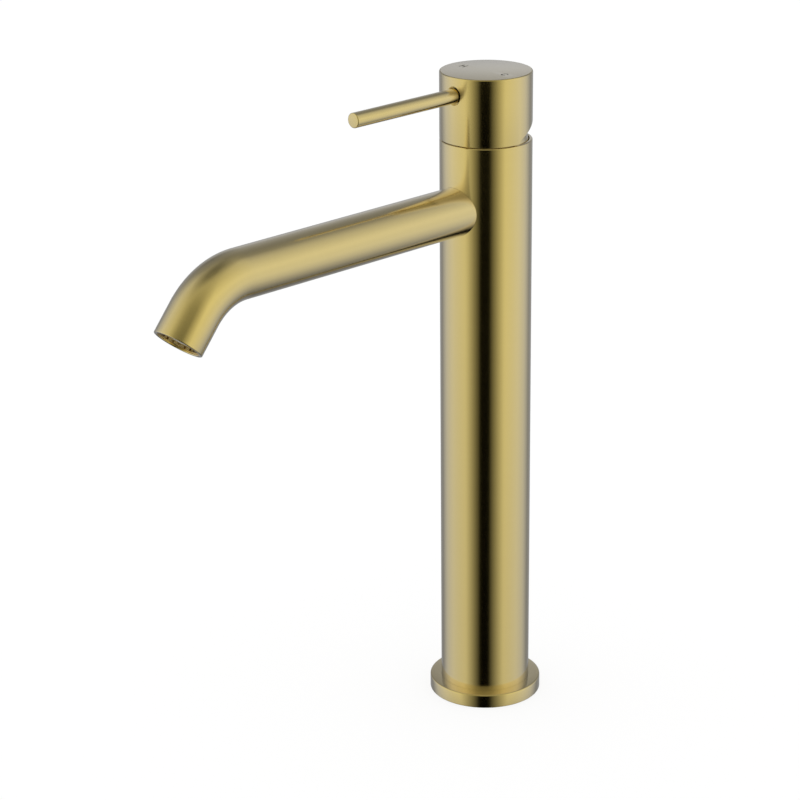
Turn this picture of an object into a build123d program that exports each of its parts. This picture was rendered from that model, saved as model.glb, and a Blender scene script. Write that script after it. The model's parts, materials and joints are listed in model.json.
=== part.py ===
from build123d import *
import os
from math import cos, radians, sin, sqrt, tan

# Tall single-lever basin mixer.
# Origin: centre of the flange's underside, on the deck. +Z up, spout and lever towards -Y.
# Hot side -X, cold side +X. Millimetres.

# ---------------------------------------------------------------- driving sizes
# Outside
overall_height = 325.0
body_radius = 22.5
body_wall = 1.5
flange_width = 5.75
flange_thickness = 7.0
edge_break = 0.4

# Handle
handle_height = 32.9
handle_wall = 2.0
seam_gap = 0.4
lift_angle = 25.0
undercut_start = 0.7
undercut_rise = 1.45
undercut_round = 2.2
mark_offset = 13.5
mark_shift = 1.5
mark_height = 4.0
mark_width = 3.0
mark_stroke = 0.5
mark_depth = 0.25

# Lever
lever_drop = 9.0
lever_radius = 3.6
lever_reach = 88.25
lever_thread_radius = 3.0
lever_stud_length = 9.5
recess_depth = 3.0
recess_gap = 0.45
recess_chamfer = 0.6
tommy_radius = 0.6
tommy_place = 42.0
tommy_depth = 2.5

# Spout
spout_radius = 12.0
spout_wall = 1.5
spout_run = 160.0
spout_bend_radius = 35.0
spout_bend = 50.0
spout_end = 15.5

# Foot
lip_thickness = 2.5
lip_width = 4.0
base_seal_width = 3.0
base_seal_depth = 2.0
block_height = 24.0
inlet_spacing = 17.0
inlet_thread_radius = 4.5
inlet_depth = 12.0
stud_spacing = 24.0
stud_thread_radius = 3.4
stud_depth = 14.0

# Water tubes and channels
riser_radius = 5.0
riser_wall = 1.0
riser_socket = 8.0
channel_radius = 3.0
outlet_radius = 4.5
oring_section = 1.3
oring_width = 1.8

# Cartridge
pivot_drop = 5.2
stem_width = 8.0
stem_over_lever = 4.0
stem_arm = 6.5
stem_neck_radius = 1.9
ball_radius = 2.2
stem_pin_radius = 1.5
disc_thickness = 3.0
disc_room = 4.0
driver_height = 3.5
cartridge_base_height = 6.0
cartridge_base_rim = 2.0
cartridge_radius = 17.5
cartridge_wall = 2.0
cartridge_cap = 2.15
cartridge_neck_height = 4.5
rotor_radius = 10.45
rotor_flange = 2.5
outlet_port_offset = 8.0
outlet_port_radius = 3.5
port_seal_height = 1.2
port_seal_width = 1.2
peg_radius = 1.5
peg_height = 2.0
peg_offset = 10.0
nut_height = 3.2
nut_rim = 1.4
nut_slot = 3.0

# Valve housing and spout joint
housing_below_spout = 16.0
housing_rim = 1.0
nipple_radius = 5.5
nipple_wall = 1.5
nipple_depth = 8.0
nipple_reach = 12.0
nipple_collar = 2.0
socket_length = 14.0
seat_floor = 1.0

# Dome ring
dome_wall = 1.2
dome_rise = 13.0

# Aerator
aerator_recess = 0.9
outlet_ring_wall = 1.2
outlet_ring_length = 12.0
aerator_length = 9.0
aerator_wall = 1.3
key_count = 16
key_width = 1.2
key_depth = 1.1
grid_depth = 1.6
grid_thickness = 3.0
grid_pitch = 1.1
grid_hole = 0.85
screen_thickness = 0.5
aerator_seal_height = 1.5

# Clearances
joint_gap = 0.1
braze_gap = 0.05
running_gap = 0.05
slide_gap = 0.15
free_gap = 0.3
dome_gap = 1.2
dome_clearance = 0.2

# ---------------------------------------------------------------- heights and places
handle_foot = overall_height - handle_height
body_top = handle_foot - seam_gap
lever_height = overall_height - lever_drop
pivot_height = body_top - pivot_drop
stem_top = lever_height + stem_over_lever
cavity_radius = body_radius - handle_wall
dome_radius = sqrt(cavity_radius**2 + (handle_foot - pivot_height) ** 2) - dome_clearance
cavity_top = pivot_height + dome_radius + dome_gap

ball_height = pivot_height - stem_arm
moving_disc_top = ball_height - ball_radius - free_gap
moving_disc_foot = moving_disc_top - disc_thickness
fixed_disc_foot = moving_disc_foot - disc_thickness
seat_height = fixed_disc_foot - cartridge_base_height
cartridge_foot = seat_height + cartridge_base_rim
driver_top = moving_disc_top + driver_height
rotor_foot = driver_top + slide_gap
cartridge_ceiling = rotor_foot + rotor_flange + slide_gap
cartridge_shoulder = cartridge_ceiling + cartridge_cap
neck_top = cartridge_shoulder + cartridge_neck_height
nut_top = cartridge_shoulder + nut_height
housing_top = nut_top + housing_rim
rotor_top = neck_top + housing_rim
disc_travel = stem_arm * sin(radians(lift_angle))

column_bore = body_radius - body_wall
housing_radius = column_bore - joint_gap
pocket_radius = cartridge_radius + joint_gap
cartridge_cavity = cartridge_radius - cartridge_wall
rotor_bore = rotor_radius + running_gap
rotor_flange_radius = (cartridge_cavity + rotor_bore) / 2
moving_disc_radius = cartridge_cavity - disc_room
neck_radius = rotor_bore + cartridge_wall + 1.0
nut_radius = pocket_radius + nut_rim
nut_thread = nut_radius - joint_gap

spout_height = seat_height - seat_floor - nipple_radius
spout_bore = spout_radius - spout_wall
housing_foot = spout_height - housing_below_spout
lip_bore = column_bore - lip_width + body_wall
inlet_x = inlet_spacing / 2
riser_foot = block_height - riser_socket
riser_top = housing_foot + riser_socket

front_plane = Plane(origin=(0, 0, spout_height), x_dir=(1, 0, 0), z_dir=(0, -1, 0))
lever_axis = Axis((0, 0, lever_height), (0, -1, 0))
spout_axis = Axis((0, 0, spout_height), (0, -1, 0))

with BuildLine(Plane.YZ) as spout_path:
    spout_straight = Line((-spout_radius, spout_height), (-spout_run, spout_height))
    spout_curve = JernArc(spout_straight @ 1, spout_straight % 1, spout_bend_radius, spout_bend)
    spout_tail = PolarLine(spout_curve @ 1, spout_end, direction=spout_curve % 1)
outlet_plane = Plane(origin=spout_tail @ 1, x_dir=(1, 0, 0), z_dir=spout_tail % 1)

os.makedirs("parts", exist_ok=True)

# ---------------------------------------------------------------- foot
flange_radius = body_radius + flange_width
groove_outer = (body_radius + flange_radius + base_seal_width) / 2
groove_inner = groove_outer - base_seal_width

with BuildPart() as base_flange:
    with BuildSketch(Plane.XZ):
        with BuildLine():
            Polyline(
                (lip_bore, 0),
                (groove_inner, 0),
                (groove_inner, base_seal_depth),
                (groove_outer, base_seal_depth),
                (groove_outer, 0),
                (flange_radius - edge_break, 0),
                (flange_radius, edge_break),
                (flange_radius, flange_thickness - edge_break),
                (flange_radius - edge_break, flange_thickness),
                (body_radius + braze_gap, flange_thickness),
                (body_radius + braze_gap, lip_thickness),
                (lip_bore, lip_thickness),
                close=True,
            )
        make_face()
    revolve(axis=Axis.Z)
base_flange.part.label = "base_flange"
export_step(base_flange.part, "parts/base_flange.step")

with BuildPart() as base_seal:
    with BuildSketch():
        Circle(groove_outer)
        Circle(groove_inner, mode=Mode.SUBTRACT)
    extrude(amount=base_seal_depth)
base_seal.part.label = "base_seal"
export_step(base_seal.part, "parts/base_seal.step")

with BuildPart() as body_column:
    with BuildSketch(Plane.XY.offset(lip_thickness)):
        Circle(body_radius)
    extrude(amount=body_top - lip_thickness)
    chamfer(body_column.edges().group_by(Axis.Z)[-1], edge_break)
    with BuildSketch(Plane.XY.offset(lip_thickness)):
        Circle(column_bore)
    extrude(amount=body_top - lip_thickness, mode=Mode.SUBTRACT)
    with BuildSketch(front_plane):
        Circle(spout_radius + braze_gap)
    extrude(amount=body_radius + spout_wall, mode=Mode.SUBTRACT)
body_column.part.label = "body_column"
export_step(body_column.part, "parts/body_column.step")

with BuildPart() as inlet_block:
    with BuildSketch():
        Circle(lip_bore - joint_gap)
    extrude(amount=lip_thickness)
    with BuildSketch(Plane.XY.offset(lip_thickness)):
        Circle(housing_radius)
    extrude(amount=block_height - lip_thickness)
    with BuildSketch():
        with GridLocations(inlet_spacing, 0, 2, 1):
            Circle(inlet_thread_radius)
    extrude(amount=inlet_depth, mode=Mode.SUBTRACT)
    with BuildSketch():
        with GridLocations(0, stud_spacing, 1, 2):
            Circle(stud_thread_radius)
    extrude(amount=stud_depth, mode=Mode.SUBTRACT)
    with Locations((-inlet_x, 0, block_height), (inlet_x, 0, block_height)):
        CounterBoreHole(channel_radius, riser_radius + braze_gap, riser_socket)
    with BuildSketch(Plane.XY.offset(block_height - riser_socket / 2)):
        with GridLocations(inlet_spacing, 0, 2, 1):
            Circle(riser_radius + oring_section)
    extrude(amount=oring_width, mode=Mode.SUBTRACT)
inlet_block.part.label = "inlet_block"
export_step(inlet_block.part, "parts/inlet_block.step")


# ---------------------------------------------------------------- water tubes
def riser(side):
    with BuildPart() as tube:
        with BuildSketch(Plane.XY.offset(riser_foot)):
            with Locations((side * inlet_x, 0)):
                Circle(riser_radius)
                Circle(riser_radius - riser_wall, mode=Mode.SUBTRACT)
        extrude(amount=riser_top - riser_foot)
    return tube.part


for riser_name, side in (("hot_riser", -1), ("cold_riser", 1)):
    riser_part = riser(side)
    riser_part.label = riser_name
    export_step(riser_part, f"parts/{riser_name}.step")

with BuildPart() as riser_seals:
    for seal_foot in (block_height - riser_socket / 2, housing_foot + riser_socket / 2):
        with BuildSketch(Plane.XY.offset(seal_foot)):
            with GridLocations(inlet_spacing, 0, 2, 1):
                Circle(riser_radius + oring_section)
                Circle(riser_radius, mode=Mode.SUBTRACT)
        extrude(amount=oring_width)
riser_seals.part.label = "riser_seals"
export_step(riser_seals.part, "parts/riser_seals.step")

# ---------------------------------------------------------------- valve housing
outlet_bore_end = outlet_port_offset + outlet_port_radius + housing_rim

with BuildPart() as valve_housing:
    with BuildSketch(Plane.XY.offset(housing_foot)):
        Circle(housing_radius)
    extrude(amount=housing_top - housing_foot)
    with BuildSketch(Plane.XY.offset(seat_height)):
        Circle(pocket_radius)
    extrude(amount=housing_top - seat_height, mode=Mode.SUBTRACT)
    with BuildSketch(Plane.XY.offset(cartridge_shoulder - housing_rim)):
        Circle(nut_radius)
    extrude(amount=housing_top - cartridge_shoulder + housing_rim, mode=Mode.SUBTRACT)
    with BuildSketch(Plane.XY.offset(housing_foot)):
        with GridLocations(inlet_spacing, 0, 2, 1):
            Circle(channel_radius)
    extrude(amount=seat_height - housing_foot, mode=Mode.SUBTRACT)
    with BuildSketch(Plane.XY.offset(housing_foot)):
        with GridLocations(inlet_spacing, 0, 2, 1):
            Circle(riser_radius + braze_gap)
    extrude(amount=riser_socket, mode=Mode.SUBTRACT)
    with BuildSketch(Plane.XY.offset(housing_foot + riser_socket / 2)):
        with GridLocations(inlet_spacing, 0, 2, 1):
            Circle(riser_radius + oring_section)
    extrude(amount=oring_width, mode=Mode.SUBTRACT)
    with BuildSketch(Plane.XY.offset(spout_height)):
        with Locations((0, outlet_port_offset)):
            Circle(outlet_port_radius)
    extrude(amount=seat_height - spout_height, mode=Mode.SUBTRACT)
    with BuildSketch(front_plane.offset(-outlet_bore_end)):
        Circle(outlet_radius)
    extrude(amount=outlet_bore_end + housing_radius, mode=Mode.SUBTRACT)
    with BuildSketch(front_plane.offset(housing_radius - nipple_depth)):
        Circle(nipple_radius + braze_gap)
    extrude(amount=nipple_depth, mode=Mode.SUBTRACT)
    with BuildSketch(Plane.XY.offset(seat_height - peg_height - free_gap)):
        with Locations((-peg_offset, -peg_offset), (peg_offset, -peg_offset)):
            Circle(peg_radius + joint_gap)
    extrude(amount=peg_height + free_gap, mode=Mode.SUBTRACT)
valve_housing.part.label = "valve_housing"
export_step(valve_housing.part, "parts/valve_housing.step")

# ---------------------------------------------------------------- spout
nipple_start = housing_radius - nipple_depth
collar_start = housing_radius + joint_gap
collar_end = collar_start + nipple_collar
nipple_end = collar_end + nipple_reach
socket_end = collar_end + socket_length
seal_start = collar_end + nipple_reach / 2

with BuildPart() as spout_nipple:
    with BuildSketch(front_plane.offset(nipple_start)):
        Circle(nipple_radius)
    extrude(amount=nipple_end - nipple_start)
    with BuildSketch(front_plane.offset(collar_start)):
        RegularPolygon(spout_bore - free_gap, 6)
    extrude(amount=nipple_collar)
    with BuildSketch(front_plane.offset(nipple_start)):
        Circle(nipple_radius - nipple_wall)
    extrude(amount=nipple_end - nipple_start, mode=Mode.SUBTRACT)
spout_nipple.part.label = "spout_nipple"
export_step(spout_nipple.part, "parts/spout_nipple.step")

with BuildPart() as spout_socket:
    with BuildSketch(front_plane.offset(collar_end)):
        Circle(spout_bore - braze_gap)
    extrude(amount=socket_length)
    with BuildSketch(front_plane.offset(collar_end)):
        Circle(nipple_radius + braze_gap)
    extrude(amount=socket_length, mode=Mode.SUBTRACT)
    with BuildSketch(front_plane.offset(seal_start)):
        Circle(nipple_radius + oring_section)
    extrude(amount=oring_width, mode=Mode.SUBTRACT)
    chamfer(spout_socket.edges().group_by(Axis.Y)[0], edge_break)
spout_socket.part.label = "spout_socket"
export_step(spout_socket.part, "parts/spout_socket.step")

with BuildPart() as spout_seal:
    with BuildSketch(front_plane.offset(seal_start)):
        Circle(nipple_radius + oring_section)
        Circle(nipple_radius, mode=Mode.SUBTRACT)
    extrude(amount=oring_width)
spout_seal.part.label = "spout_seal"
export_step(spout_seal.part, "parts/spout_seal.step")

with BuildPart() as spout_tube:
    with BuildSketch(front_plane.offset(spout_radius)):
        Circle(spout_radius)
        Circle(spout_bore, mode=Mode.SUBTRACT)
    sweep(path=spout_path.wire())
    with BuildSketch(Plane.XY.offset(spout_height - spout_radius)):
        Circle(housing_radius + joint_gap)
    extrude(amount=2 * spout_radius, mode=Mode.SUBTRACT)
spout_tube.part.label = "spout_tube"
export_step(spout_tube.part, "parts/spout_tube.step")

# ---------------------------------------------------------------- aerator
ring_bore = spout_bore - outlet_ring_wall
sleeve_radius = ring_bore - joint_gap
sleeve_bore = sleeve_radius - aerator_wall
sleeve_top = aerator_recess + aerator_length
seal_top = sleeve_top + aerator_seal_height
grid_top = aerator_recess + grid_depth + grid_thickness
screen_top = grid_top + screen_thickness

with BuildPart() as outlet_ring:
    with BuildSketch(outlet_plane.offset(-aerator_recess - outlet_ring_length)):
        Circle(spout_bore)
        Circle(ring_bore, mode=Mode.SUBTRACT)
    extrude(amount=outlet_ring_length)
outlet_ring.part.label = "outlet_ring"
export_step(outlet_ring.part, "parts/outlet_ring.step")

with BuildPart() as aerator_housing:
    with BuildSketch(outlet_plane.offset(-sleeve_top)):
        Circle(sleeve_radius)
        Circle(sleeve_bore, mode=Mode.SUBTRACT)
    extrude(amount=aerator_length)
    with BuildSketch(outlet_plane.offset(-aerator_recess - key_depth)):
        with PolarLocations(sleeve_radius - aerator_wall / 2, key_count):
            Rectangle(2 * aerator_wall, key_width)
    extrude(amount=key_depth, mode=Mode.SUBTRACT)
aerator_housing.part.label = "aerator_housing"
export_step(aerator_housing.part, "parts/aerator_housing.step")

with BuildPart() as aerator_grid:
    with BuildSketch(outlet_plane.offset(-grid_top)):
        Circle(sleeve_bore)
    extrude(amount=grid_thickness)
    with BuildSketch(outlet_plane.offset(-grid_top)) as grid_holes:
        with HexLocations(grid_pitch, 7, 7):
            RegularPolygon(grid_hole, 6)
        Circle(sleeve_bore - grid_hole, mode=Mode.INTERSECT)
    extrude(amount=grid_thickness, mode=Mode.SUBTRACT)
aerator_grid.part.label = "aerator_grid"
export_step(aerator_grid.part, "parts/aerator_grid.step")

with BuildPart() as aerator_screen:
    with BuildSketch(outlet_plane.offset(-screen_top)):
        Circle(sleeve_bore)
        with GridLocations(grid_pitch, grid_pitch, 9, 9):
            Circle(grid_pitch / 3, mode=Mode.SUBTRACT)
    extrude(amount=screen_thickness)
aerator_screen.part.label = "aerator_screen"
export_step(aerator_screen.part, "parts/aerator_screen.step")

with BuildPart() as aerator_seal:
    with BuildSketch(outlet_plane.offset(-seal_top)):
        Circle(sleeve_radius)
        Circle(sleeve_bore, mode=Mode.SUBTRACT)
    extrude(amount=aerator_seal_height)
aerator_seal.part.label = "aerator_seal"
export_step(aerator_seal.part, "parts/aerator_seal.step")

# ---------------------------------------------------------------- cartridge, fixed pieces
inlet_ports = [(-inlet_x, 0), (inlet_x, 0)]
outlet_port = [(0, outlet_port_offset)]

with BuildPart() as cartridge_base:
    with BuildSketch(Plane.XY.offset(seat_height)):
        Circle(cartridge_radius)
    extrude(amount=cartridge_base_rim)
    with BuildSketch(Plane.XY.offset(cartridge_foot)):
        Circle(cartridge_cavity - joint_gap)
    extrude(amount=fixed_disc_foot - cartridge_foot)
    with BuildSketch(Plane.XY.offset(seat_height - peg_height)):
        with Locations((-peg_offset, -peg_offset), (peg_offset, -peg_offset)):
            Circle(peg_radius)
    extrude(amount=peg_height)
    with BuildSketch(Plane.XY.offset(seat_height)):
        with Locations(inlet_ports):
            Circle(channel_radius)
        with Locations(outlet_port):
            Circle(outlet_port_radius)
    extrude(amount=cartridge_base_height, mode=Mode.SUBTRACT)
    for groove_foot in (seat_height, fixed_disc_foot - port_seal_height):
        with BuildSketch(Plane.XY.offset(groove_foot)):
            with Locations(inlet_ports):
                Circle(channel_radius + port_seal_width)
            with Locations(outlet_port):
                Circle(outlet_port_radius + port_seal_width)
        extrude(amount=port_seal_height, mode=Mode.SUBTRACT)
cartridge_base.part.label = "cartridge_base"
export_step(cartridge_base.part, "parts/cartridge_base.step")


def port_rings(foot):
    with BuildPart() as rings:
        with BuildSketch(Plane.XY.offset(foot)):
            with Locations(inlet_ports):
                Circle(channel_radius + port_seal_width)
                Circle(channel_radius, mode=Mode.SUBTRACT)
            with Locations(outlet_port):
                Circle(outlet_port_radius + port_seal_width)
                Circle(outlet_port_radius, mode=Mode.SUBTRACT)
        extrude(amount=port_seal_height)
    return rings.part


for seal_name, seal_foot in (("port_seals", seat_height), ("disc_seals", fixed_disc_foot - port_seal_height)):
    seal_part = port_rings(seal_foot)
    seal_part.label = seal_name
    export_step(seal_part, f"parts/{seal_name}.step")

with BuildPart() as cartridge_housing:
    with BuildSketch(Plane.XZ):
        with BuildLine():
            Polyline(
                (cartridge_cavity, cartridge_foot),
                (cartridge_radius, cartridge_foot),
                (cartridge_radius, cartridge_shoulder),
                (neck_radius, cartridge_shoulder),
                (neck_radius, neck_top),
                (rotor_bore, neck_top),
                (rotor_bore, cartridge_ceiling),
                (cartridge_cavity, cartridge_ceiling),
                close=True,
            )
        make_face()
    revolve(axis=Axis.Z)
cartridge_housing.part.label = "cartridge_housing"
export_step(cartridge_housing.part, "parts/cartridge_housing.step")

with BuildPart() as fixed_disc:
    with BuildSketch(Plane.XY.offset(fixed_disc_foot)):
        Circle(cartridge_cavity - joint_gap)
        with Locations(inlet_ports):
            Circle(channel_radius, mode=Mode.SUBTRACT)
        with Locations(outlet_port):
            Circle(outlet_port_radius, mode=Mode.SUBTRACT)
    extrude(amount=disc_thickness)
fixed_disc.part.label = "fixed_disc"
export_step(fixed_disc.part, "parts/fixed_disc.step")

with BuildPart() as cartridge_nut:
    with BuildSketch(Plane.XY.offset(cartridge_shoulder)):
        Circle(nut_thread)
        Circle(neck_radius + free_gap, mode=Mode.SUBTRACT)
    extrude(amount=nut_height)
    with BuildSketch(Plane.XY.offset(nut_top - nut_height / 2)):
        with PolarLocations(neck_radius, 6):
            Rectangle(nut_slot, nut_slot)
    extrude(amount=nut_height / 2, mode=Mode.SUBTRACT)
cartridge_nut.part.label = "cartridge_nut"
export_step(cartridge_nut.part, "parts/cartridge_nut.step")

dome_inner = dome_radius - dome_wall
dome_step = housing_top - pivot_height
dome_middle = (dome_step + dome_rise) / 2


def across(radius, height):
    return (sqrt(radius**2 - height**2), pivot_height + height)



with BuildPart() as dome_ring:
    with BuildSketch(Plane.XZ):
        with BuildLine():
            dome_outside = ThreePointArc(
                across(dome_radius, dome_step),
                across(dome_radius, dome_middle),
                across(dome_radius, dome_rise),
            )
            dome_inside = ThreePointArc(
                across(dome_inner, dome_rise),
                across(dome_inner, dome_middle),
                across(dome_inner, dome_step),
            )
            Line(dome_outside @ 1, dome_inside @ 0)
            Line(dome_inside @ 1, dome_outside @ 0)
        make_face()
    revolve(axis=Axis.Z)
dome_ring.part.label = "dome_ring"
export_step(dome_ring.part, "parts/dome_ring.step")

# ---------------------------------------------------------------- cartridge, moving pieces
disc_centre = disc_travel / 2
driver_flat = rotor_radius - slide_gap - joint_gap

with BuildPart() as moving_disc:
    with BuildSketch(Plane.XY.offset(moving_disc_foot)):
        with Locations((0, disc_centre)):
            Circle(moving_disc_radius)
    extrude(amount=disc_thickness)
    with BuildSketch(Plane.XY.offset(moving_disc_foot)):
        with Locations((0, channel_radius + free_gap)):
            Rectangle(inlet_spacing, channel_radius, align=(Align.CENTER, Align.MIN))
    extrude(amount=disc_thickness / 2, mode=Mode.SUBTRACT)
moving_disc.part.label = "moving_disc"
export_step(moving_disc.part, "parts/moving_disc.step")

with BuildPart() as disc_driver:
    with BuildSketch(Plane.XY.offset(moving_disc_top)):
        with Locations((0, disc_centre)):
            Circle(moving_disc_radius)
        Rectangle(2 * driver_flat, 2 * cartridge_radius, mode=Mode.INTERSECT)
        Circle(ball_radius + slide_gap, mode=Mode.SUBTRACT)
    extrude(amount=driver_height)
disc_driver.part.label = "disc_driver"
export_step(disc_driver.part, "parts/disc_driver.step")

lean = tan(radians(lift_angle))
half_lean_width = stem_width / 2 / cos(radians(lift_angle))
slot_rear = (rotor_top - pivot_height) * lean + half_lean_width + free_gap
slot_front = (pivot_height - rotor_foot) * lean + half_lean_width + free_gap
lug_length = 2 * stem_neck_radius + 2 * disc_travel
lug_height = driver_height - free_gap

with BuildPart() as cartridge_rotor:
    with BuildSketch(Plane.XY.offset(rotor_foot)):
        Circle(rotor_flange_radius)
    extrude(amount=rotor_flange)
    with BuildSketch(Plane.XY.offset(rotor_foot)):
        Circle(rotor_radius)
    extrude(amount=rotor_top - rotor_foot)
    with BuildSketch(Plane.XY.offset(rotor_foot - lug_height)):
        Circle(rotor_flange_radius)
        Rectangle(2 * (driver_flat + slide_gap), 2 * cartridge_radius, mode=Mode.SUBTRACT)
        Rectangle(2 * cartridge_radius, lug_length, mode=Mode.INTERSECT)
    extrude(amount=lug_height)
    with BuildSketch(Plane.XY.offset(rotor_foot)):
        with Locations((0, -slot_front)):
            Rectangle(
                stem_width + 2 * slide_gap,
                slot_front + slot_rear,
                align=(Align.CENTER, Align.MIN),
            )
    extrude(amount=rotor_top - rotor_foot, mode=Mode.SUBTRACT)
    with BuildSketch(Plane.YZ):
        with Locations((0, pivot_height)):
            Circle(stem_pin_radius)
    extrude(amount=rotor_radius, both=True, mode=Mode.SUBTRACT)
cartridge_rotor.part.label = "cartridge_rotor"
export_step(cartridge_rotor.part, "parts/cartridge_rotor.step")

with BuildPart() as stem_pin:
    with BuildSketch(Plane.YZ):
        with Locations((0, pivot_height)):
            Circle(stem_pin_radius)
    extrude(amount=rotor_radius - free_gap, both=True)
stem_pin.part.label = "stem_pin"
export_step(stem_pin.part, "parts/stem_pin.step")

stem_foot = pivot_height - stem_pin_radius - slide_gap - 1.0

with BuildPart() as cartridge_stem:
    with BuildSketch(Plane.XY.offset(stem_foot)):
        Rectangle(stem_width, stem_width)
    extrude(amount=stem_top - stem_foot)
    chamfer(cartridge_stem.edges().group_by(Axis.Z)[-1], edge_break)
    with BuildSketch(Plane.XY.offset(ball_height)):
        Circle(stem_neck_radius)
    extrude(amount=stem_foot - ball_height)
    with Locations((0, 0, ball_height)):
        Sphere(ball_radius)
    with BuildSketch(Plane.YZ):
        with Locations((0, pivot_height)):
            Circle(stem_pin_radius + running_gap)
    extrude(amount=stem_width, both=True, mode=Mode.SUBTRACT)
cartridge_stem.part.label = "cartridge_stem"
export_step(cartridge_stem.part, "parts/cartridge_stem.step")

# ---------------------------------------------------------------- handle and lever
lever_recess = lever_radius + recess_gap
recess_floor = body_radius - recess_depth
undercut_low = handle_foot - handle_wall
undercut_back = body_radius + handle_wall
slope_rise = tan(radians(lift_angle)) * (undercut_back + undercut_start)
lever_stud_end = recess_floor - lever_stud_length

with BuildPart() as handle_cap:
    with BuildSketch(Plane.XZ):
        with BuildLine():
            Polyline(
                (cavity_radius, handle_foot),
                (body_radius - edge_break, handle_foot),
                (body_radius, handle_foot + edge_break),
                (body_radius, overall_height - edge_break),
                (body_radius - edge_break, overall_height),
                (0, overall_height),
                (0, cavity_top),
                (cavity_radius, cavity_top),
                close=True,
            )
        make_face()
    revolve(axis=Axis.Z)
    with BuildSketch(Plane.YZ):
        with BuildLine():
            FilletPolyline(
                (-undercut_start, undercut_low),
                (-undercut_start, handle_foot + undercut_rise),
                (undercut_back, handle_foot + undercut_rise + slope_rise),
                radius=undercut_round,
            )
            Polyline(
                (undercut_back, handle_foot + undercut_rise + slope_rise),
                (undercut_back, undercut_low),
                (-undercut_start, undercut_low),
            )
        make_face()
    extrude(amount=body_radius + handle_wall, both=True, mode=Mode.SUBTRACT)
    with BuildSketch(Plane.XY.offset(cavity_top)):
        Rectangle(stem_width + 2 * braze_gap, stem_width + 2 * braze_gap)
    extrude(amount=stem_top + free_gap - cavity_top, mode=Mode.SUBTRACT)
    with BuildSketch(Plane.YZ):
        with BuildLine():
            Polyline(
                (0, lever_height),
                (0, lever_height + lever_thread_radius),
                (-recess_floor, lever_height + lever_thread_radius),
                (-recess_floor, lever_height + lever_recess),
                (-body_radius + recess_chamfer, lever_height + lever_recess),
                (-body_radius - recess_chamfer, lever_height + lever_recess + 2 * recess_chamfer),
                (-body_radius - recess_chamfer, lever_height),
                close=True,
            )
        make_face()
    revolve(axis=lever_axis, mode=Mode.SUBTRACT)
    with BuildSketch(Plane.XY.offset(overall_height)):
        with Locations((-mark_offset, -mark_shift)):
            with GridLocations(mark_width - mark_stroke, 0, 2, 1):
                Rectangle(mark_stroke, mark_height)
            Rectangle(mark_width, mark_stroke)
    extrude(amount=-mark_depth, mode=Mode.SUBTRACT)
    with BuildSketch(Plane.XY.offset(overall_height)):
        with Locations((mark_offset, -mark_shift)):
            SlotOverall(mark_height, mark_width, rotation=90)
            SlotOverall(
                mark_height - 2 * mark_stroke,
                mark_width - 2 * mark_stroke,
                rotation=90,
                mode=Mode.SUBTRACT,
            )
            Rectangle(
                mark_width,
                mark_height / 2 - mark_stroke,
                align=(Align.MIN, Align.CENTER),
                mode=Mode.SUBTRACT,
            )
    extrude(amount=-mark_depth, mode=Mode.SUBTRACT)
handle_cap.part.label = "handle_cap"
export_step(handle_cap.part, "parts/handle_cap.step")

with BuildPart() as lever_rod:
    with BuildSketch(Plane.YZ):
        with BuildLine():
            Polyline(
                (-lever_stud_end, lever_height),
                (-lever_stud_end, lever_height + lever_thread_radius - braze_gap),
                (-recess_floor, lever_height + lever_thread_radius - braze_gap),
                (-recess_floor, lever_height + lever_radius),
                (-lever_reach + edge_break, lever_height + lever_radius),
                (-lever_reach, lever_height + lever_radius - edge_break),
                (-lever_reach, lever_height),
                close=True,
            )
        make_face()
    revolve(axis=lever_axis)
    with BuildSketch(Plane.XY.offset(lever_height - lever_radius)):
        with Locations((0, -tommy_place)):
            Circle(tommy_radius)
    extrude(amount=tommy_depth, mode=Mode.SUBTRACT)
lever_rod.part.label = "lever_rod"
export_step(lever_rod.part, "parts/lever_rod.step")

grub_start = stem_width / 2
grub_length = lever_stud_end - grub_start - 2 * free_gap

with BuildPart() as grub_screw:
    with BuildSketch(Plane.XZ.offset(grub_start)):
        with Locations((0, lever_height)):
            Circle(lever_thread_radius - braze_gap)
    extrude(amount=grub_length)
    with BuildSketch(Plane.XZ.offset(grub_start + grub_length / 2)):
        with Locations((0, lever_height)):
            RegularPolygon(lever_thread_radius / 2, 6)
    extrude(amount=grub_length / 2, mode=Mode.SUBTRACT)
grub_screw.part.label = "grub_screw"
export_step(grub_screw.part, "parts/grub_screw.step")
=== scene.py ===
"""Tall single-lever basin mixer in brushed brass, on a pale studio floor."""

import json
from math import cos, hypot, pi, radians, sin, sqrt, tan

import bmesh
import bpy
from mathutils import Matrix, Vector


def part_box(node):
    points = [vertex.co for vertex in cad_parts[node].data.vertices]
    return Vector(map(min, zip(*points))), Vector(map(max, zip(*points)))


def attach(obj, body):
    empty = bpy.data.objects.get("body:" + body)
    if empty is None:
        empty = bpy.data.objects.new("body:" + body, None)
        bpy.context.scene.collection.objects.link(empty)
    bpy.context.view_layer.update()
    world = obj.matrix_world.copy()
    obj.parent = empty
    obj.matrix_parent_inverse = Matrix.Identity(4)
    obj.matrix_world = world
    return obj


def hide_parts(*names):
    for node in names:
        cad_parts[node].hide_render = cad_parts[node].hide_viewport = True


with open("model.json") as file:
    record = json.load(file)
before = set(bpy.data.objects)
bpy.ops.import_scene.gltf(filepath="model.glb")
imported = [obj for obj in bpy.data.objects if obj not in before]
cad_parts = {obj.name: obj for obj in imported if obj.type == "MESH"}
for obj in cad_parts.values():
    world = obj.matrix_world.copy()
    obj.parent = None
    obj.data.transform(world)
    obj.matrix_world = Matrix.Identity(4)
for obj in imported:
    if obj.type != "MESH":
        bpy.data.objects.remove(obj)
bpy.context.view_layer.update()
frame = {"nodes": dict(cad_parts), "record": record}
scene = bpy.context.scene

MM = 0.001

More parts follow.
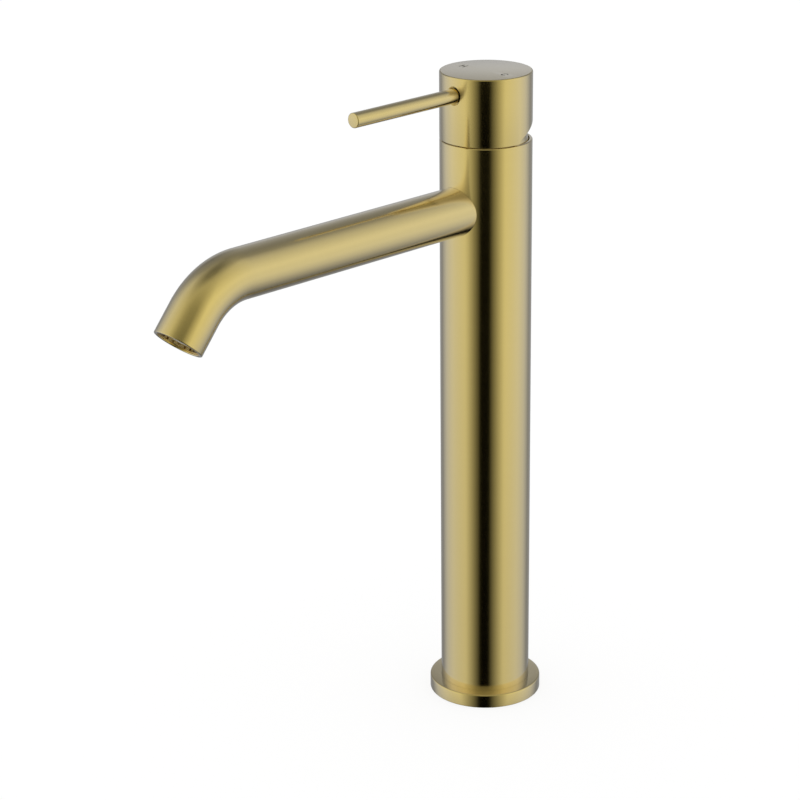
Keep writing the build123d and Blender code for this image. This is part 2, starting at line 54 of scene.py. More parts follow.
# ------------------------------------------------------------------ sizes, from the frame
column_low, column_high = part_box("body_column")
_, flange_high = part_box("base_flange")
handle_low, handle_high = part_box("handle_cap")
_, spout_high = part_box("spout_tube")
lever_low, lever_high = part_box("lever_rod")
dome_low, dome_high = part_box("dome_ring")
_, seal_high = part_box("base_seal")
grid_low, grid_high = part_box("aerator_grid")

column_radius = column_high.x
flange_radius = flange_high.x
flange_lip = column_low.z
spout_radius = spout_high.x
spout_height = spout_high.z - spout_radius
lever_radius = lever_high.x
lever_height = (lever_low.z + lever_high.z) / 2

# Sizes the frame's boxes don't give, as the design has them
column_wall = 1.5 * MM
column_bore = column_radius - column_wall
spout_wall = 1.5 * MM
spout_run = 160.0 * MM
bend_radius = 35.0 * MM
bend_angle = radians(50)
spout_tail = 15.5 * MM
spout_length = spout_run + bend_radius * bend_angle + spout_tail
spout_lip_round = 0.45 * MM
fit_gap = 0.05 * MM
flange_lip_bore = 18.5 * MM
seal_groove_width = 3.0 * MM
handle_wall = 2.0 * MM
undercut_start = 0.7 * MM
undercut_rise = 1.45 * MM
undercut_round = 2.2 * MM
lift_angle = radians(25)
lever_thread = 3.0 * MM
lever_stud_end = 10.0 * MM
lever_tip_round = 0.5 * MM
recess_floor = 19.5 * MM
recess_radius = 4.05 * MM
recess_chamfer = 0.6 * MM
stem_width = 8.0 * MM
stem_top = 320.3 * MM
tommy_radius = 0.6 * MM
tommy_place = 42.0 * MM
tommy_depth = 2.5 * MM
mark_offset = 13.5 * MM
mark_shift = 1.5 * MM
mark_height = 4.0 * MM
mark_width = 3.0 * MM
mark_stroke = 0.7 * MM
enamel_depth = 0.03 * MM
pivot_height = 286.5 * MM
dome_wall = 1.2 * MM
dome_gap = 1.2 * MM
dome_radius = hypot(dome_high.x, dome_low.z - pivot_height)
cavity_top = pivot_height + dome_radius + dome_gap
aerator_recess = 0.9 * MM
grid_depth = 1.6 * MM
grid_thickness = 3.0 * MM
cell_radius = 1.1 * MM
cell_hole = 0.85 * MM
grid_radius = (grid_high.x - grid_low.x) / 2
cells_across = 13
cell_corners = 6
rim_share = 1.04

# Finishing
edge_round = 0.7 * MM
fine_round = 0.3 * MM
sharp_angle = radians(32)

# How finely the round shapes are drawn
round_steps = 5
sides = 256
tube_sides = 128
rod_sides = 96
pin_sides = 32

# A radius under this counts as none
on_axis = 1e-7

# How far the cutters of the socket, the letters and the tommy hole stand past the face they open
overshoot = 1.0 * MM


# ------------------------------------------------------------------ mesh helpers
def rounded(corners):
    """The points (radius, height) of a closed outline, given as corners (radius, height, round)."""
    points = []
    for i, (r, z, radius) in enumerate(corners):
        corner = Vector((r, z))
        if not radius:
            points.append(corner)
            continue
        back = (Vector(corners[i - 1][:2]) - corner).normalized()
        ahead = (Vector(corners[(i + 1) % len(corners)][:2]) - corner).normalized()
        half = back.angle(ahead) / 2
        centre = corner + (back + ahead).normalized() * radius / sin(half)
        start = corner + back * radius / tan(half) - centre
        end = corner + ahead * radius / tan(half) - centre
        sweep = start.angle(end)
        for k in range(round_steps + 1):
            share = k / round_steps
            arm = sin((1 - share) * sweep) * start + sin(share * sweep) * end
            points.append(centre + arm / sin(sweep))
    return points


def turned(name, outline, place=lambda p: p, around=sides):
    """A lathe piece: the closed outline turned about Z, with each point then set in its place."""
    shape = bmesh.new()
    lay = shape.verts.layers.float_vector.new("lay")
    rings = []
    for r, z in outline:
        count = around if r > on_axis else 1
        ring = []
        for k in range(count):
            turn = 2 * pi * k / count
            straight = Vector((r * cos(turn), r * sin(turn), z))
            vert = shape.verts.new(place(straight))
            vert[lay] = straight
            ring.append(vert)
        rings.append(ring)
    for low, high in zip(rings, rings[1:] + rings[:1]):
        for k in range(around):
            after = k + 1
            lower = [low[k % len(low)], low[after % len(low)]]
            upper = [high[after % len(high)], high[k % len(high)]]
            loop = list(dict.fromkeys(lower + upper))
            if len(loop) > 2:
                shape.faces.new(loop)
    bmesh.ops.recalc_face_normals(shape, faces=shape.faces)
    return as_object(name, shape)


def prism(name, points, low, high, place=lambda p: p):
    """A closed outline of (x, y) points as a straight-sided block from one height to another."""
    shape = bmesh.new()
    floor = [shape.verts.new(place(Vector((x, y, low)))) for x, y in points]
    roof = [shape.verts.new(place(Vector((x, y, high)))) for x, y in points]
    shape.faces.new(floor)
    shape.faces.new(roof)
    for k in range(len(points)):
        after = (k + 1) % len(points)
        shape.faces.new((floor[k], floor[after], roof[after], roof[k]))
    bmesh.ops.recalc_face_normals(shape, faces=shape.faces)
    return as_object(name, shape)


def as_object(name, shape):
    """Puts a finished shape into the scene under its name."""
    mesh = bpy.data.meshes.new(name)
    shape.to_mesh(mesh)
    shape.free()
    made = bpy.data.objects.new(name, mesh)
    scene.collection.objects.link(made)
    return made


def settle(piece, modifier):
    """Gives a piece the mesh that its modifier makes, and drops the modifier."""
    bpy.context.view_layer.update()
    shown = piece.evaluated_get(bpy.context.evaluated_depsgraph_get())
    result = bpy.data.meshes.new_from_object(shown)
    piece.modifiers.remove(modifier)
    piece.data = result


def carve(piece, *cutters):
    """Cuts the cutters out of a piece, and takes them away."""
    for cutter in cutters:
        cut = piece.modifiers.new("cut", "BOOLEAN")
        cut.operation = "DIFFERENCE"
        cut.solver = "EXACT"
        cut.object = cutter
        settle(piece, cut)
        bpy.data.objects.remove(cutter)


def note_ink(piece, height):
    """Marks the floors of the engraved letters, which are filled with dark enamel."""
    ink = piece.data.attributes.new("ink", "FLOAT", "POINT")
    for vert, entry in zip(piece.data.vertices, ink.data):
        entry.value = 1.0 if abs(vert.co.z - height) < fit_gap / 2 else 0.0


def note_lay(piece, straight=lambda p: p):
    """Writes where each point lies on the straight, upright blank, which the brushing follows."""
    mesh = piece.data
    lay = mesh.attributes.get("lay") or mesh.attributes.new("lay", "FLOAT_VECTOR", "POINT")
    for vert, entry in zip(mesh.vertices, lay.data):
        entry.vector = straight(vert.co)


def finished(piece, body, finish, slot, *nodes):
    """Smooth shading between true edges, one finish, and its place on a body of the frame."""
    piece.data.shade_smooth()
    piece.data.set_sharp_from_angle(angle=sharp_angle)
    piece.data.materials.clear()
    piece.data.materials.append(finish)
    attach(piece, body)
    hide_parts(*nodes)
    return piece


# ------------------------------------------------------------------ shader helpers
class Term:
    """A shader socket that can stand in a Python expression."""

    def __init__(self, sheet, socket):
        self.sheet = sheet
        self.socket = socket

    def maths(self, operation, first, second=0.0):
        return self.sheet.node("Math", {"operation": operation}, {0: first, 1: second})

    def __add__(self, other):
        return self.maths("ADD", self, other)

    def __radd__(self, other):
        return self.maths("ADD", other, self)

    def __sub__(self, other):
        return self.maths("SUBTRACT", self, other)

    def __rsub__(self, other):
        return self.maths("SUBTRACT", other, self)

    def __mul__(self, other):
        return self.maths("MULTIPLY", self, other)

    def __rmul__(self, other):
        return self.maths("MULTIPLY", other, self)

    def __truediv__(self, other):
        return self.maths("DIVIDE", self, other)

    def power(self, exponent):
        return self.maths("POWER", self, exponent)


class Sheet:
    """The nodes of one material or of the studio."""

    def __init__(self, tree):
        self.tree = tree
        tree.nodes.clear()

    def node(self, kind, settings=None, sockets=None, output=0):
        """Adds a node, sets it up, feeds its sockets and gives one of its outputs."""
        made = self.tree.nodes.new("ShaderNode" + kind)
        for key, value in (settings or {}).items():
            if key == "stops":
                self.set_stops(made.color_ramp.elements, value)
            else:
                setattr(made, key, value)
        for key, value in (sockets or {}).items():
            if isinstance(value, Term):
                self.tree.links.new(value.socket, made.inputs[key])
            else:
                made.inputs[key].default_value = value
        return Term(self, made.outputs[output]) if made.outputs else made

    @staticmethod
    def set_stops(elements, stops):
        """Sets a ramp's greys, each given as (place, level)."""
        while len(elements) < len(stops):
            elements.new(1.0)
        for element, (place, level) in zip(elements, stops):
            element.position = place
            element.color = (level, level, level, 1.0)

    def stretched(self, place, scale):
        """A place whose three directions are scaled."""
        return self.node("Mapping", {"vector_type": "POINT"}, {"Vector": place, "Scale": scale})

    def noise(self, place, scale=1.0, detail=2.0, rough=0.5):
        return self.node(
            "TexNoise",
            {"noise_dimensions": "3D"},
            {"Vector": place, "Scale": scale, "Detail": detail, "Roughness": rough},
        )

    def colour_mix(self, share, first, second, blend="MIX"):
        return self.node(
            "Mix",
            {"data_type": "RGBA", "blend_type": blend, "clamp_factor": True},
            {0: share, 6: first, 7: second},
            output=2,
        )

    def bump(self, height, depth, strength=1.0):
        sockets = {"Height": height, "Distance": depth, "Strength": strength}
        return self.node("Bump", {}, sockets, output="Normal")


def material(name):
    """A new material and the sheet that its nodes go on."""
    made = bpy.data.materials.new(name)
    made.use_nodes = True
    return made, Sheet(made.node_tree)


def surface(sheet, sockets, gleam=None, gloss=None):
    """Closes a material with its Principled shader, under a second one where it gleams."""
    shader = sheet.node("BsdfPrincipled", {}, sockets)
    if gleam:
        over = sheet.node("BsdfPrincipled", {}, gloss)
        shader = sheet.node("MixShader", {}, {0: gleam, 1: shader, 2: over})
    sheet.node("OutputMaterial", {}, {"Surface": shader})


# ------------------------------------------------------------------ finishes
def brushed_brass(name="brushed_brass"):
    """Brass brushed round its axis, paler at a slant, with dark enamel where ink is noted."""
    made, sheet = material(name)
    lay = sheet.node("Attribute", {"attribute_name": "lay"}, output="Vector")
    ink = sheet.node("Attribute", {"attribute_name": "ink"}, output="Fac")
    hair = sheet.noise(sheet.stretched(lay, (110, 110, 5200)), detail=3.0, rough=0.65)
    stroke = sheet.noise(sheet.stretched(lay, (45, 45, 900)), detail=2.0)
    speck = sheet.noise(lay, scale=1900.0, detail=2.0)
    cloud = sheet.noise(lay, scale=28.0, detail=2.0)
    shade = hair * 0.4 + stroke * 0.25 + speck * 0.2 + cloud * 0.15
    gold = sheet.colour_mix(shade, (0.755, 0.578, 0.160, 1), (0.845, 0.662, 0.205, 1))
    rough = 0.09 + shade * 0.12 + ink * 0.3
    grain = sheet.bump(hair + stroke * 0.5 + speck * 0.4, 1.8e-6)
    facing = sheet.node("LayerWeight", {}, {"Blend": 0.5, "Normal": grain}, output="Facing")
    surface(sheet, {
        "Base Color": sheet.colour_mix(ink, gold, (0.012, 0.011, 0.010, 1)),
        "Metallic": 1.0 - ink,
        "Roughness": rough,
        "Normal": grain,
    }, gleam=facing.power(1.4) * (1.0 - ink), gloss={
        "Base Color": (0.96, 0.96, 0.96, 1),
        "Metallic": 1.0,
        "Roughness": rough,
        "Normal": grain,
    })
    return made


def turned_brass(name, low, high, rough):
    """Bare machined brass, with fine lathe marks round the upright."""
    made, sheet = material(name)
    place = sheet.node("TexCoord", output="Object")
    marks = sheet.noise(sheet.stretched(place, (300, 300, 2600)), detail=2.0)
    cloud = sheet.noise(place, scale=120.0, detail=2.0)
    shade = marks * 0.6 + cloud * 0.4
    surface(sheet, {
        "Base Color": sheet.colour_mix(shade, (*low, 1), (*high, 1)),
        "Metallic": 1.0,
        "Roughness": rough + shade * 0.15,
        "Normal": sheet.bump(marks, 4e-6),
    })
    return made


def drawn_copper(name):
    made, sheet = material(name)
    place = sheet.node("TexCoord", output="Object")
    draw = sheet.noise(sheet.stretched(place, (2400, 2400, 60)), detail=2.0)
    stain = sheet.noise(place, scale=60.0, detail=3.0)
    surface(sheet, {
        "Base Color": sheet.colour_mix(stain, (0.62, 0.29, 0.18, 1), (0.82, 0.46, 0.31, 1)),
        "Metallic": 1.0,
        "Roughness": 0.2 + stain * 0.2,
        "Normal": sheet.bump(draw, 4e-6),
    })
    return made


def rubber(name):
    made, sheet = material(name)
    place = sheet.node("TexCoord", output="Object")
    skin = sheet.noise(place, scale=1500.0, detail=3.0)
    dust = sheet.noise(place, scale=90.0, detail=3.0)
    surface(sheet, {
        "Base Color": sheet.colour_mix(dust, (0.012, 0.012, 0.012, 1), (0.035, 0.034, 0.032, 1)),
        "Roughness": 0.55 + dust * 0.2,
        "Normal": sheet.bump(skin, 2e-5),
    })
    return made


def moulded(name, low, high, rough):
    """Moulded plastic or fired ceramic: an even skin with a fine grain."""
    made, sheet = material(name)
    place = sheet.node("TexCoord", output="Object")
    grain = sheet.noise(place, scale=2200.0, detail=2.0)
    flow = sheet.noise(place, scale=70.0, detail=2.0)
    surface(sheet, {
        "Base Color": sheet.colour_mix(flow, (*low, 1), (*high, 1)),
        "Roughness": rough + grain * 0.12,
        "Normal": sheet.bump(grain, 6e-6),
    })
    return made


def ground_steel(name):
    made, sheet = material(name)
    place = sheet.node("TexCoord", output="Object")
    grind = sheet.noise(sheet.stretched(place, (250, 3200, 3200)), detail=2.0)
    surface(sheet, {
        "Base Color": sheet.colour_mix(grind, (0.50, 0.50, 0.51, 1), (0.66, 0.66, 0.67, 1)),
        "Metallic": 1.0,
        "Roughness": 0.2 + grind * 0.18,
        "Normal": sheet.bump(grind, 3e-6),
    })
    return made


finishes = {
    "brushed_brass": brushed_brass(),
    "raw_brass": turned_brass("raw_brass", (0.62, 0.44, 0.17), (0.78, 0.58, 0.26), 0.22),
    "aerator_brass": turned_brass("aerator_brass", (0.48, 0.36, 0.14), (0.62, 0.47, 0.20), 0.30),
    "copper": drawn_copper("drawn_copper"),
    "seal_rubber": rubber("seal_rubber"),
    "ceramic": moulded("lapped_ceramic", (0.80, 0.79, 0.76), (0.88, 0.87, 0.84), 0.12),
    "cartridge_plastic": moulded("cartridge_plastic", (0.10, 0.105, 0.115), (0.15, 0.155, 0.165), 0.42),
    "aerator_plastic": moulded("aerator_plastic", (0.60, 0.60, 0.57), (0.70, 0.70, 0.67), 0.45),
    "stainless": ground_steel("ground_stainless"),
}
slots = {part["node"]: part["material_slot"] for part in frame["record"]["subparts"]}
for name, slot in slots.items():
    node = frame["nodes"][name]
    node.data.materials.clear()
    node.data.materials.append(finishes[slot])

brass = finishes["brushed_brass"]


# ------------------------------------------------------------------ foot and column
def flange():
    bore = column_radius + fit_gap
    groove_in, groove_out = seal_high.x - seal_groove_width, seal_high.x
    top = flange_high.z
    return turned("base_flange_brushed", rounded([
        (flange_lip_bore, 0, fine_round),
        (groove_in, 0, 0),
        (groove_in, seal_high.z, 0),
        (groove_out, seal_high.z, 0),
        (groove_out, 0, 0),
        (flange_radius, 0, fine_round),
        (flange_radius, top, edge_round),
        (bore, top, 0),
        (bore, flange_lip, 0),
        (flange_lip_bore, flange_lip, 0),
    ]))


def column():
    tube = turned("body_column_brushed", rounded([
        (column_bore, column_low.z, 0),
        (column_radius, column_low.z, 0),
        (column_radius, column_high.z, edge_round),
        (column_bore, column_high.z, fine_round),
    ]))
    hole = turned("spout_hole", [
        (0, 0),
        (spout_radius + fit_gap, 0),
        (spout_radius + fit_gap, 2 * column_radius),
        (0, 2 * column_radius),
    ], lambda p: Vector((p.x, -p.z, spout_height + p.y)), tube_sides)
    carve(tube, hole)
    note_lay(tube)
    return tube


finished(flange(), "root", brass, "brushed_brass", "base_flange")
finished(column(), "root", brass, "brushed_brass", "body_column")


# ------------------------------------------------------------------ spout
def along_spout(p):
    """Bends an upright blank, whose heights run from the column's axis, to the spout's line.

    Its foot is cut to the round of the column's bore.
    """
    if p.z < column_radius:
        return Vector((p.x, -sqrt(column_bore ** 2 - p.x ** 2), spout_height + p.y))
    turn = min(max((p.z - spout_run) / bend_radius, 0), bend_angle)
    straight = min(p.z, spout_run)
    beyond = max(p.z - spout_run - bend_radius * bend_angle, 0)
    ahead = Vector((0, -cos(turn), -sin(turn)))
    upward = Vector((0, -sin(turn), cos(turn)))
    sink = bend_radius * (1 - cos(turn))
    centre = Vector((0, -straight - bend_radius * sin(turn), spout_height - sink))
    return centre + ahead * beyond + upward * p.y + Vector((p.x, 0, 0))


def spout():
    run_steps, bend_steps = 8, 40
    bore = spout_radius - spout_wall
    arc = bend_radius * bend_angle
    bends = [spout_run + arc * k / bend_steps for k in range(bend_steps + 1)]
    runs = [column_radius + (spout_run - column_radius) * k / run_steps for k in range(run_steps)]
    outer = [(spout_radius, z, 0) for z in [0, *runs, *bends]]
    inner = [(bore, z, 0) for z in [*reversed(bends), *reversed(runs), 0]]
    lip = [(radius, spout_length, spout_lip_round) for radius in (spout_radius, bore)]
    return turned("spout_tube_brushed", rounded(outer + lip + inner), along_spout, tube_sides)


finished(spout(), "root", brass, "brushed_brass", "spout_tube")


# ------------------------------------------------------------------ handle
def undercut():
    """The cut under the handle's back half, a wall and a slope that lets it tip back."""
    back = column_radius + handle_wall
    foot = handle_low.z
    rise = undercut_rise + tan(lift_angle) * (back + undercut_start)
    return prism("undercut", rounded([
        (-undercut_start, foot - handle_wall, 0),
        (-undercut_start, foot + undercut_rise, undercut_round),
        (back, foot + rise, 0),
        (back, foot - handle_wall, 0),
    ]), -back, back, lambda p: Vector((p.z, p.x, p.y)))


def letter_h(x, y):
    """The outline of the letter for hot, all of it drawn from one quarter."""
    half_w, half_h, half_s = mark_width / 2, mark_height / 2, mark_stroke / 2
    inner = half_w - mark_stroke
    right_up = [(half_w, half_h), (inner, half_h), (inner, half_s)]
    left_up = [(-px, py) for px, py in reversed(right_up)]
    upper = right_up + left_up
    lower = [(-px, -py) for px, py in upper]
    return [(x + px, y + py) for px, py in upper + lower]


def letter_c(x, y):
    """The outline of the letter for cold, an open loop of two half rounds."""
    radius = mark_width / 2
    rise = mark_height / 2 - radius
    steps = 12
    opening = radians(10)
    turns = [opening + (pi - opening) * k / steps for k in range(steps + 1)]
    outer = [(radius * cos(t), rise + radius * sin(t)) for t in turns]
    outer += [(px, -py) for px, py in reversed(outer)]
    thin = radius - mark_stroke
    inner = [(thin * cos(t), rise + thin * sin(t)) for t in turns]
    inner += [(px, -py) for px, py in reversed(inner)]
    return [(x + px, y + py) for px, py in outer + inner[::-1]]


def toward_user(p):
    """Lays an upright blank along the lever's axis."""
    return Vector((p.x, -p.z, lever_height + p.y))


def handle():
    cavity = column_radius - handle_wall
    foot, top = handle_low.z, handle_high.z
    drum = turned("handle_cap_brushed", rounded([
        (cavity, foot, fine_round),
        (column_radius, foot, fine_round),
        (column_radius, top, edge_round),
        (0, top, 0),
        (0, cavity_top, 0),
        (cavity, cavity_top, edge_round),
    ]))
    socket_half = stem_width / 2 + fit_gap
    socket = prism("socket", [
        (-socket_half, -socket_half),
        (socket_half, -socket_half),
        (socket_half, socket_half),
        (-socket_half, socket_half),
    ], cavity_top - overshoot, stem_top)
    mouth = column_radius - recess_chamfer
    recess = turned("recess", [
        (0, 0),
        (lever_thread, 0),
        (lever_thread, recess_floor),
        (recess_radius, recess_floor),
        (recess_radius, mouth),
        (recess_radius + 2 * recess_chamfer, mouth + 2 * recess_chamfer),
        (0, mouth + 2 * recess_chamfer),
    ], toward_user, rod_sides)
    enamel = top - enamel_depth
    above = top + overshoot
    hot = prism("hot_mark", letter_h(-mark_offset, -mark_shift), enamel, above)
    cold = prism("cold_mark", letter_c(mark_offset, -mark_shift), enamel, above)
    carve(drum, undercut(), socket, recess, hot, cold)
    note_lay(drum)
    note_ink(drum, enamel)
    return drum


def dome():
    """The ring under the handle, a zone of a ball about the point where the handle tips."""
    steps = 16
    low, high = dome_low.z - pivot_height, dome_high.z - pivot_height
    levels = [low + (high - low) * k / steps for k in range(steps + 1)]
    inside = dome_radius - dome_wall
    outer = [(sqrt(dome_radius ** 2 - z ** 2), pivot_height + z) for z in levels]
    inner = [(sqrt(inside ** 2 - z ** 2), pivot_height + z) for z in reversed(levels)]
    return turned("dome_ring_brushed", outer + inner)


def lever():
    thread = lever_thread - fit_gap
    tip = -lever_low.y
    rod = turned("lever_rod_brushed", rounded([
        (0, lever_stud_end, 0),
        (thread, lever_stud_end, fine_round),
        (thread, recess_floor, 0),
        (lever_radius, recess_floor, 0),
        (lever_radius, tip, lever_tip_round),
        (0, tip, 0),
    ]), toward_user, rod_sides)
    hole = turned("tommy_hole", [
        (0, -overshoot),
        (tommy_radius, -overshoot),
        (tommy_radius, tommy_depth),
        (0, tommy_depth),
    ], lambda p: Vector((p.x, p.y - tommy_place, lever_height - lever_radius + p.z)), pin_sides)
    carve(rod, hole)
    note_lay(rod, lambda p: Vector((p.x, p.z - lever_height, -p.y)))
    return rod


finished(handle(), "handle", brass, "brushed_brass", "handle_cap")
finished(lever(), "handle", brass, "brushed_brass", "lever_rod")
finished(dome(), "root", finishes[slots["dome_ring"]], slots["dome_ring"], "dome_ring")


# ------------------------------------------------------------------ honeycomb in the aerator
class Grower:
    """The nodes of one geometry tree, with named inputs for its sizes."""

    def __init__(self, name):
        self.tree = bpy.data.node_groups.new(name, "GeometryNodeTree")
        self.tree.interface.new_socket("Geometry", in_out="OUTPUT", socket_type="NodeSocketGeometry")
        self.sizes = {}

    def size(self, name, value, kind="NodeSocketFloat"):
        """Adds a named input with the value that the piece gives it."""
        socket = self.tree.interface.new_socket(name, in_out="INPUT", socket_type=kind)
        self.sizes[socket.identifier] = value
        return self.tree.nodes.new("NodeGroupInput").outputs[name]

    def node(self, kind, settings=None, sockets=None, output=0):
        """Adds a node, sets it up, feeds its sockets and gives one of its outputs."""
        made = self.tree.nodes.new(kind)
        for key, value in (settings or {}).items():
            setattr(made, key, value)
        for key, value in (sockets or {}).items():
            if isinstance(value, list):
                for source in value:
                    self.tree.links.new(source, made.inputs[key])
            elif isinstance(value, bpy.types.NodeSocket):
                self.tree.links.new(value, made.inputs[key])
            else:
                made.inputs[key].default_value = value
        return made.outputs[output]

    def maths(self, operation, first, second=0.0):
        return self.node("ShaderNodeMath", {"operation": operation}, {0: first, 1: second})

    def ring(self, radius, section, corners):
        """A closed ring of a given section round Z."""
        path = self.node("GeometryNodeCurvePrimitiveCircle", {"mode": "RADIUS"}, {
            "Resolution": corners,
            "Radius": radius,
        })
        return self.node("GeometryNodeCurveToMesh", {}, {"Curve": path, "Profile Curve": section})

    def grow(self, name, shape, finish):
        """Runs the tree on an empty mesh and gives the result as a plain piece."""
        real = self.node("GeometryNodeRealizeInstances", {}, {"Geometry": shape})
        dressed = self.node("GeometryNodeSetMaterial", {}, {"Geometry": real, "Material": finish})
        exit_node = self.tree.nodes.new("NodeGroupOutput")
        self.tree.links.new(dressed, exit_node.inputs[0])
        piece = as_object(name, bmesh.new())
        grown = piece.modifiers.new("grown", "NODES")
        grown.node_group = self.tree
        for identifier, value in self.sizes.items():
            grown[identifier] = value
        settle(piece, grown)
        return piece


def honeycomb(name, finish):
    """Six-sided cells side by side inside a rim, grown flat and then set in the spout's mouth."""
    grower = Grower("honeycomb")
    cell = grower.size("Cell radius", cell_radius)
    hole = grower.size("Hole radius", cell_hole)
    deep = grower.size("Thickness", grid_thickness)
    rim = grower.size("Rim radius", grid_radius)
    count = grower.size("Cells across", cells_across, "NodeSocketInt")

    # Rows of cells stand 1.5 cell radii apart, and the cells of one row stand sqrt(3) radii apart
    across = grower.maths("MULTIPLY", cell, sqrt(3))
    along = grower.maths("MULTIPLY", cell, 1.5)
    gaps = grower.maths("SUBTRACT", count, 1)
    points = grower.node("GeometryNodeMeshGrid", {}, {
        "Size X": grower.maths("MULTIPLY", along, gaps),
        "Size Y": grower.maths("MULTIPLY", across, gaps),
        "Vertices X": count,
        "Vertices Y": count,
    })
    number = grower.node("GeometryNodeInputIndex")
    row = grower.maths("FLOOR", grower.maths("DIVIDE", number, count))
    odd = grower.maths("MODULO", row, 2)
    shift = grower.node("ShaderNodeCombineXYZ", {}, {
        "Y": grower.maths("MULTIPLY", odd, grower.maths("DIVIDE", across, 2)),
    })
    points = grower.node("GeometryNodeSetPosition", {}, {"Geometry": points, "Offset": shift})
    place = grower.node("GeometryNodeInputPosition")
    far = grower.node("ShaderNodeVectorMath", {"operation": "LENGTH"}, {0: place}, output="Value")
    outside = grower.node("FunctionNodeCompare", {"data_type": "FLOAT", "operation": "GREATER_THAN"}, {
        "A": far,
        "B": grower.maths("SUBTRACT", rim, cell),
    })
    points = grower.node("GeometryNodeDeleteGeometry", {"domain": "POINT"}, {
        "Geometry": points,
        "Selection": outside,
    })
    wall = grower.node("GeometryNodeCurvePrimitiveQuadrilateral", {"mode": "RECTANGLE"}, {
        "Width": grower.maths("SUBTRACT", cell, hole),
        "Height": deep,
    })
    middle = grower.maths("DIVIDE", grower.maths("ADD", cell, hole), 2)
    ring = grower.ring(middle, wall, cell_corners)
    cells = grower.node("GeometryNodeInstanceOnPoints", {}, {"Points": points, "Instance": ring})
    rim_wall = grower.node("GeometryNodeCurvePrimitiveQuadrilateral", {"mode": "RECTANGLE"}, {
        "Width": hole,
        "Height": grower.maths("MULTIPLY", deep, rim_share),
    })
    rim_middle = grower.maths("SUBTRACT", rim, grower.maths("DIVIDE", hole, 2))
    rim_ring = grower.ring(rim_middle, rim_wall, rod_sides)
    joined = grower.node("GeometryNodeJoinGeometry", {}, {"Geometry": [cells, rim_ring]})
    return grower.grow(name, joined, finish)


def aerator_grid():
    """Sets the grown honeycomb square to the spout's line, behind the mouth."""
    slot = slots["aerator_grid"]
    piece = honeycomb("aerator_honeycomb", finishes[slot])
    middle = aerator_recess + grid_depth + grid_thickness / 2
    for vert in piece.data.vertices:
        x, y, z = vert.co
        vert.co = along_spout(Vector((x, y, spout_length - middle + z)))
    shape = bmesh.new()
    shape.from_mesh(piece.data)
    bmesh.ops.recalc_face_normals(shape, faces=shape.faces)
    shape.to_mesh(piece.data)
    shape.free()
    return finished(piece, "root", finishes[slot], slot, "aerator_grid")


aerator_grid()


# ------------------------------------------------------------------ floor, light and camera
camera_azimuth = radians(43.465)
camera_distance = 1.2246
camera_height = 0.6032
camera_place = Vector((
    camera_distance * sin(camera_azimuth),
    -camera_distance * cos(camera_azimuth),
    camera_height,
))
camera_aim = Vector((-0.0299, -0.0305, 0.1575))
camera_roll = radians(-0.577)
camera_lens = 117.25
gap_turn = radians(1.8)
gap_azimuth = camera_azimuth - gap_turn
floor_reach = 6.0
floor_drop = 0.0002
floor_grey = 0.20
floor_glow = 0.81

floor_shape = bmesh.new()
bmesh.ops.create_grid(floor_shape, x_segments=1, y_segments=1, size=floor_reach)
floor = as_object("floor", floor_shape)
floor.location.z = -floor_drop
floor_material, sheet = material("pale_floor")
surface(sheet, {
    "Base Color": (floor_grey, floor_grey, floor_grey, 1),
    "Roughness": 0.9,
    "Specular IOR Level": 0.0,
    "Emission Color": (1, 1, 1, 1),
    "Emission Strength": floor_glow,
})
floor.data.materials.append(floor_material)
floor.visible_glossy = False


def angles(*pairs):
    """Stops of a ramp that runs over half a circle, given in degrees."""
    return [(angle / 180, colour) for angle, colour in pairs]


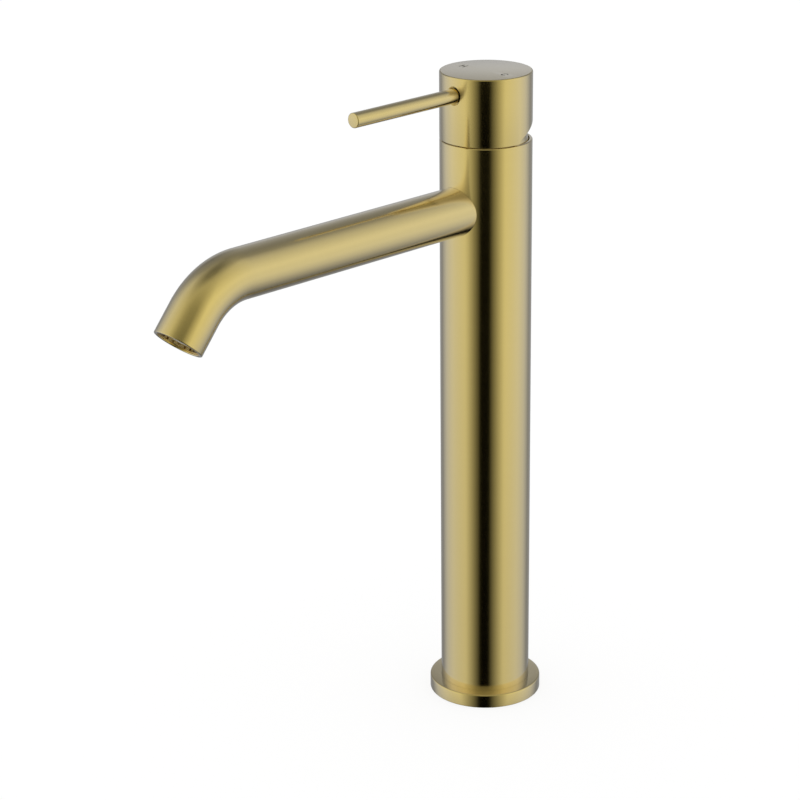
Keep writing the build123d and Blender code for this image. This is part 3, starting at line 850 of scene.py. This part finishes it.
# How bright the studio is, turning from the camera's side to the far side, at six heights in
# degrees: dark at the camera, pale to each side, dimmer overhead, and a low grey wall at the back
rings = [
    (-5, angles(
        (0, 0), (11, 0), (25, 0.25), (50, 0.78), (90, 0.75), (115, 0.60), (140, 0.25), (180, 0.40),
    )),
    (12, angles((0, 0.05), (12, 0.07), (55, 0.85), (95, 0.80), (135, 0.30), (150, 0.25), (180, 0.50))),
    (28, angles((0, 0.20), (20, 0.25), (55, 0.75), (95, 0.70), (135, 0.25), (155, 0.15), (180, 0.30))),
    (57, angles((0, 0.40), (75, 0.55), (105, 0.55), (135, 0.25), (180, 0.20))),
    (66, angles((0, 0.45), (90, 0.40), (180, 0.20))),
    (82, angles((0, 0.20), (180, 0.15))),
]

# How much of that is left, turning up from straight below
below = angles((0, 0.45), (40, 0.40), (60, 0.80), (78, 1.0), (180, 1.0))


def studio():
    """Tall soft boxes each side of the camera with a dark gap between them, dimmer above and behind."""
    world = bpy.data.worlds.new("studio")
    scene.world = world
    world.use_nodes = True
    sheet = Sheet(world.node_tree)
    toward = sheet.node("TexCoord", output="Generated")
    split = sheet.node("SeparateXYZ", {}, {"Vector": toward})
    x, y, z = (Term(sheet, split.socket.node.outputs[k]) for k in range(3))
    level = (x * x + y * y).power(0.5)
    ahead = (x * sin(gap_azimuth) - y * cos(gap_azimuth)) / level
    turn = sheet.node("Math", {"operation": "ARCCOSINE"}, {0: ahead}) / pi
    rise = sheet.node("Math", {"operation": "ARCSINE"}, {0: z}) * (180 / pi)
    heights = [height for height, _ in rings]
    levels = [sheet.node("ValToRGB", {"stops": stops}, {"Fac": turn}) for _, stops in rings]
    bands = levels[0]
    for low, high, next_level in zip(heights, heights[1:], levels[1:]):
        share = sheet.node("MapRange", {"clamp": True}, {0: rise, 1: low, 2: high})
        bands = sheet.colour_mix(share, bands, next_level)
    falling = sheet.node("ValToRGB", {"stops": below}, {"Fac": rise / 180 + 0.5})
    bands = sheet.colour_mix(1.0, bands, falling, "MULTIPLY")
    seen = sheet.node("LightPath", output="Is Glossy Ray")
    light = sheet.colour_mix(seen, (1, 1, 1, 1), bands)
    glow = sheet.node("Background", {}, {"Color": light, "Strength": 1.0})
    sheet.node("OutputWorld", {}, {"Surface": glow})


studio()

camera_data = bpy.data.cameras.new("camera")
camera_data.lens = camera_lens
camera = bpy.data.objects.new("camera", camera_data)
scene.collection.objects.link(camera)
camera.location = camera_place
looking = (camera_aim - camera_place).to_track_quat("-Z", "Y").to_matrix()
camera.rotation_euler = (looking @ Matrix.Rotation(camera_roll, 3, "Z")).to_euler()
scene.camera = camera
scene.view_settings.view_transform = "Standard"
